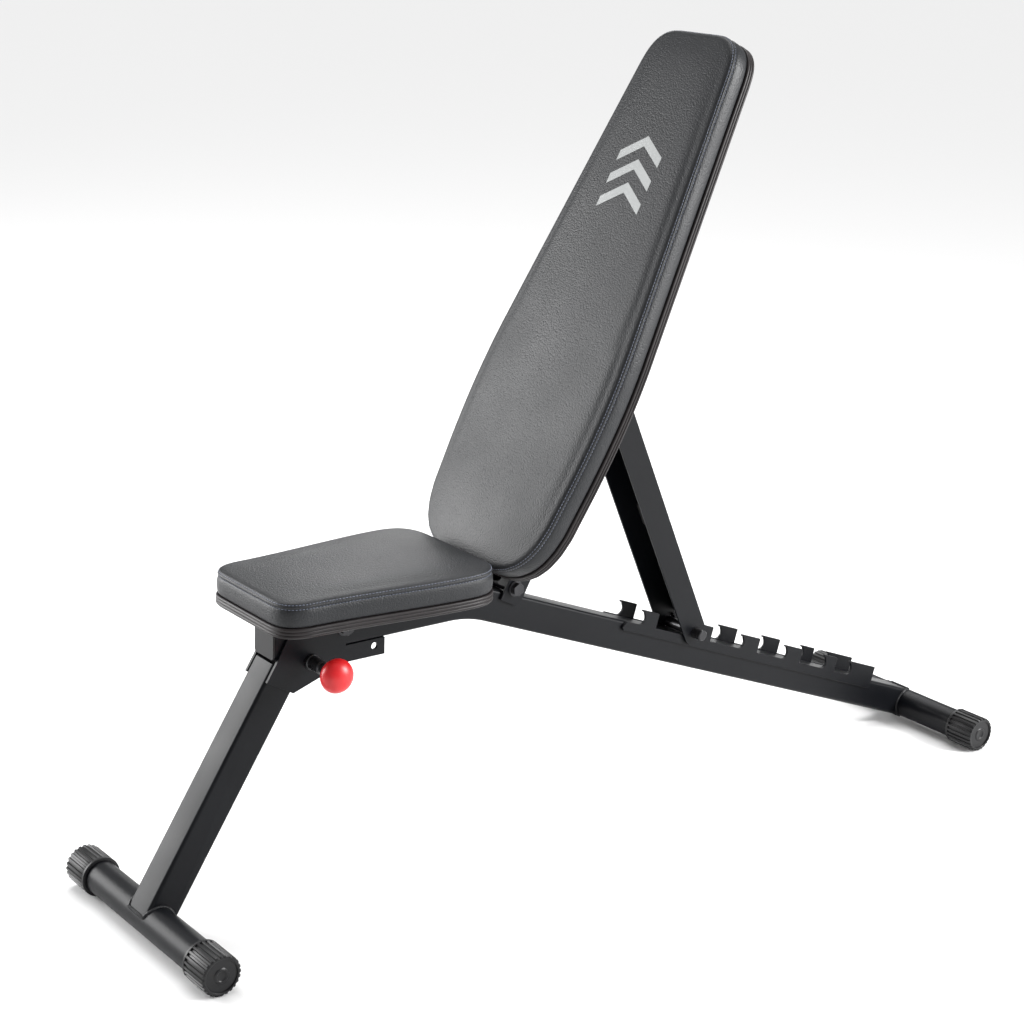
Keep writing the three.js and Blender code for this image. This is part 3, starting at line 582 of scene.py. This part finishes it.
hingePlace = np.array(joints["backrest_tilt"]["pos_m"], float)
strutPlace = np.array(joints["strut_swing"]["pos_m"], float)
planes = {
    "seat": padPlane("seat", (0.0, 0.0, 0.0), (1.0, 0.0, 0.0)),
    "back": padPlane("back", hingePlace, strutPlace - hingePlace),
}
covers = {}
for prefix, body in (("seat", "frame"), ("back", "backrest")):
    outline = padOutline(planes[prefix], cushionSettings[prefix]["count"])
    planes[prefix]["outline"] = outline
    covers[prefix] = makeCushion(planes[prefix], outline, body)
    makeEdging(planes[prefix], outline, body)
    makeStitches(planes[prefix], outline, body)
    print("pad made:", prefix)


markSettings = {"centre": 571.0, "spacing": 34.0, "halfWidth": 42.0, "drop": 26.0, "stroke": 15.0, "lift": 0.25,
                "above": 46.0, "bars": 3, "steps": (28, 5)}


def makeMark():
    # Three plain chevrons, each a strip whose middle line falls with the distance from the pad's centre.
    s = markSettings
    plane = planes["back"]
    allPoints, allFaces = [], []
    y = np.linspace(-1, 1, 2 * s["steps"][0] + 1)[None, :]
    w = np.linspace(-0.5, 0.5, s["steps"][1])[:, None]
    for bar in range(s["bars"]):
        middle = s["centre"] + (bar - (s["bars"] - 1) / 2) * s["spacing"] + s["drop"] / 2
        a = middle - s["drop"] * np.abs(y) + s["stroke"] * w
        start = sum(len(p) for p in allPoints)
        allPoints.append(fromPlane(plane, a, y * s["halfWidth"], plane["base"] + s["above"]).reshape(-1, 3))
        allFaces += gridFaces(s["steps"][1], y.size, wrapColumns=False, start=start)
    mesh = bpy.data.meshes.new("plain_mark")
    mesh.from_pydata(np.vstack(allPoints).tolist(), [], allFaces)
    piece = bpy.data.objects.new("plain_mark", mesh)
    bpy.context.scene.collection.objects.link(piece)
    wrap = piece.modifiers.new("wrap", "SHRINKWRAP")
    wrap.target = covers["back"]
    wrap.wrap_method = "NEAREST_SURFACEPOINT"
    wrap.offset = s["lift"] * mm
    bpy.context.view_layer.update()
    laid = bpy.data.meshes.new_from_object(piece.evaluated_get(bpy.context.evaluated_depsgraph_get()))
    piece.modifiers.clear()
    piece.data = laid
    work = bmesh.new()
    work.from_mesh(laid)
    for face in work.faces:
        face.smooth = True
    if sum((f.normal for f in work.faces), work.faces[:][0].normal * 0).dot(plane["normal"].tolist()) < 0:
        bmesh.ops.reverse_faces(work, faces=work.faces)
    work.to_mesh(laid)
    work.free()
    return finishPiece(piece, "silverPrint", "backrest")


makeMark()


# foot caps: ribbed rubber ferrules with a plain rim and a dished end
capSettings = {"ribs": 24, "ribDepth": 2.0, "segments": 384, "flat": 0.42, "wall": 0.26}


def makeFootCap(node):
    s = capSettings
    low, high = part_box(node)
    centre = np.array((low + high) / 2)
    radius = (high.z - low.z) / 2 / mm
    side = 1 if centre[1] > 0 else -1
    outer = (high.y if side > 0 else -low.y) / mm
    inner = (low.y if side > 0 else -high.y) / mm
    plain, ribbed = 0.0, 1.0
    rows = [(0.0, outer - 4.0, plain), (22.8, outer - 4.0, plain), (22.8, inner, plain), (radius - 1.6, inner, plain),
            (radius - 0.5, inner + 0.3, plain), (radius, inner + 1.0, plain), (radius, inner + 4.0, plain),
            (radius - 0.3, inner + 4.4, plain), (radius - 0.3, inner + 4.9, ribbed), (radius, inner + 5.6, ribbed),
            (radius, inner + 20.0, ribbed), (radius, outer - 2.4, ribbed), (radius - 0.4, outer - 1.0, ribbed),
            (radius - 1.3, outer - 0.3, 0.7), (radius - 2.6, outer, plain), (radius - 4.4, outer, plain),
            (radius - 5.0, outer - 0.4, plain), (radius - 5.4, outer - 1.8, plain),
            (10.6, outer - 1.9, plain), (9.9, outer - 1.4, plain), (9.2, outer - 0.9, plain),
            (7.0, outer - 0.9, plain), (6.3, outer - 1.5, plain), (5.6, outer - 1.9, plain), (0.0, outer - 1.9, plain)]
    amount = np.array([row[2] for row in rows])

    def ribs(count, turn):
        groove = np.clip((0.5 - 0.5 * np.cos(s["ribs"] * turn) - s["flat"]) / s["wall"], 0, 1)
        return s["ribDepth"] * mm * amount[:, None] * groove[None, :]

    profile = [(r, side * y) for r, y, _ in rows]
    piece = latheAcross(node + "_ribbed", centre, profile, s["segments"], ribs)
    return finishPiece(piece, "black_rubber", bodyOf[node], (node,))


for end in ("front", "rear"):
    for side in ("left", "right"):
        makeFootCap(f"{end}_foot_cap_{side}")
print("foot caps made")


# the knob: a flattened ball on a short neck
knobSettings = {"neck": 7.6, "neckLength": 3.0, "rows": 28}


def makeKnob():
    s = knobSettings
    low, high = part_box("lock_knob")
    centre = np.array((low + high) / 2)
    radius = (high.z - low.z) / 2 / mm
    near, far = high.y / mm, low.y / mm
    startTurn = math.asin(s["neck"] / radius)
    depth = (near - s["neckLength"] - far) / (1 + math.cos(startTurn))
    middle = far + depth
    turn = np.linspace(startTurn + 0.06, math.pi, s["rows"])
    ball = np.stack([radius * np.sin(turn), middle + depth * np.cos(turn)], 1)
    ball[-1, 0] = 0.0
    root = near - s["neckLength"]
    profile = [(0.0, root), (3.3, root), (3.3, near), (s["neck"] - 0.6, near), (s["neck"], near - 0.6),
               (s["neck"], root + 0.9), (s["neck"] + 0.4, root + 0.3), *ball.tolist()]
    return finishPiece(latheAcross("lock_knob_ball", centre, profile, 96), "red_plastic", "lock_pin",
                       ("lock_knob",))


makeKnob()


# weld beads: a ring of scalloped metal where a square tube meets a round foot
weldSettings = {"radius": 2.6, "scallop": 2.2, "depth": 0.35, "sides": 8,
                "tubeSize": 45.0, "tubeCorner": 4.5}


def squareRing(size, corner, perSide, perCorner):
    # A rounded square's outline, anticlockwise, as complex numbers.
    k = size / 2 - corner
    parts = []
    for quarter in range(4):
        turn = quarter * math.pi / 2 + np.linspace(0, math.pi / 2, perCorner)
        arc = (k + 1j * k) * 1j ** quarter + corner * np.exp(1j * turn)
        following = (k + 1j * k) * 1j ** (quarter + 1) + corner * np.exp(1j * (turn[-1]))
        parts += [arc, arc[-1] + (following - arc[-1]) * np.linspace(0, 1, perSide)[1:-1]]
    return np.concatenate(parts)


def beadAlong(name, path, outward, body):
    # A round bead along a closed path, its radius waving with the distance travelled.
    s = weldSettings
    steps = np.linalg.norm(np.diff(path, axis=0, append=path[:1]), axis=1)
    travel = np.concatenate([[0], np.cumsum(steps)[:-1]])
    wave = 0.5 + 0.5 * np.cos(2 * math.pi * travel / (s["scallop"] * mm))
    radius = s["radius"] * mm * (1 - s["depth"] * wave ** 2)
    tangent = np.roll(path, -1, 0) - np.roll(path, 1, 0)
    tangent /= np.linalg.norm(tangent, axis=1)[:, None]
    out = outward - (outward * tangent).sum(1)[:, None] * tangent
    out /= np.linalg.norm(out, axis=1)[:, None]
    across = np.cross(tangent, out)
    turn = np.linspace(0, 2 * math.pi, s["sides"], endpoint=False)
    ring = (out[:, None, :] * np.cos(turn)[None, :, None] + across[:, None, :] * np.sin(turn)[None, :, None])
    points = path[:, None, :] + ring * radius[:, None, None]
    faces = gridFaces(len(path), s["sides"], wrapRows=True)
    return finishPiece(meshFrom(name, points, faces, 180), "weldBead", body)


def footWeld(name, footNode, along, body):
    # Round the square tube, each point slid along it until it meets the foot's round wall.
    low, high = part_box(footNode)
    foot = np.array((low + high) / 2)
    footRadius = (high.z - low.z) / 2 / mm
    along = np.array(along, float) / np.linalg.norm(along)
    side = np.array([-along[2], 0.0, along[0]])
    ring = squareRing(weldSettings["tubeSize"], weldSettings["tubeCorner"], 60, 12)
    reach = np.sqrt(np.clip(footRadius ** 2 - np.clip(np.abs(ring.imag), 0, footRadius) ** 2, 0, None))
    path = foot + mm * (ring.real[:, None] * acrossBench + ring.imag[:, None] * side
                        + (reach[:, None] + 0.4) * along)
    outward = ring.real[:, None] * acrossBench + ring.imag[:, None] * side + 8 * along
    return beadAlong(name, path, outward, body)


legAngle = math.radians(58.3)  # the front leg's rise from the floor
footWeld("leg_foot_weld", "front_foot_tube", (math.cos(legAngle), 0.0, math.sin(legAngle)), "leg")


def beamSlope():
    # The sloping stretch's direction, from the hinge line to the cross pin's rest, which lie level with the beam.
    low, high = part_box("strut_cross_pin")
    away = np.array((low + high) / 2) - hingePlace
    return away / np.linalg.norm(away)


footWeld("beam_foot_weld", "rear_foot_tube", -beamSlope(), "frame")
print("welds made")


# floor and the closing lines
floorSettings = {"size": 60.0, "colour": (0.80, 0.80, 0.80), "drop": 0.0004}


def makeFloor(s):
    half = s["size"] / 2
    corners = [(x * half, y * half, -s["drop"]) for x, y in ((-1, -1), (1, -1), (1, 1), (-1, 1))]
    mesh = bpy.data.meshes.new("floor")
    mesh.from_pydata(corners, [], [(0, 1, 2, 3)])
    floor = bpy.data.objects.new("floor", mesh)
    material = bpy.data.materials.new("paleFloor")
    material.use_nodes = True
    shader = material.node_tree.nodes["Principled BSDF"]
    shader.inputs["Base Color"].default_value = (*s["colour"], 1.0)
    shader.inputs["Roughness"].default_value = 0.9
    mesh.materials.append(material)
    bpy.context.scene.collection.objects.link(floor)


worldSettings = {"colour": (1.0, 1.0, 1.0), "strength": 0.34}


def makeWorld(s):
    world = bpy.data.worlds.new("studio")
    world.use_nodes = True
    sky = world.node_tree.nodes["Background"]
    sky.inputs["Color"].default_value = (*s["colour"], 1.0)
    sky.inputs["Strength"].default_value = s["strength"]
    bpy.context.scene.world = world


makeCamera(cameraSettings)
makeLights(lightSettings)
makeOverhead(overheadSettings)
makeFloor(floorSettings)
makeWorld(worldSettings)
bpy.context.scene.view_settings.view_transform = "Standard"
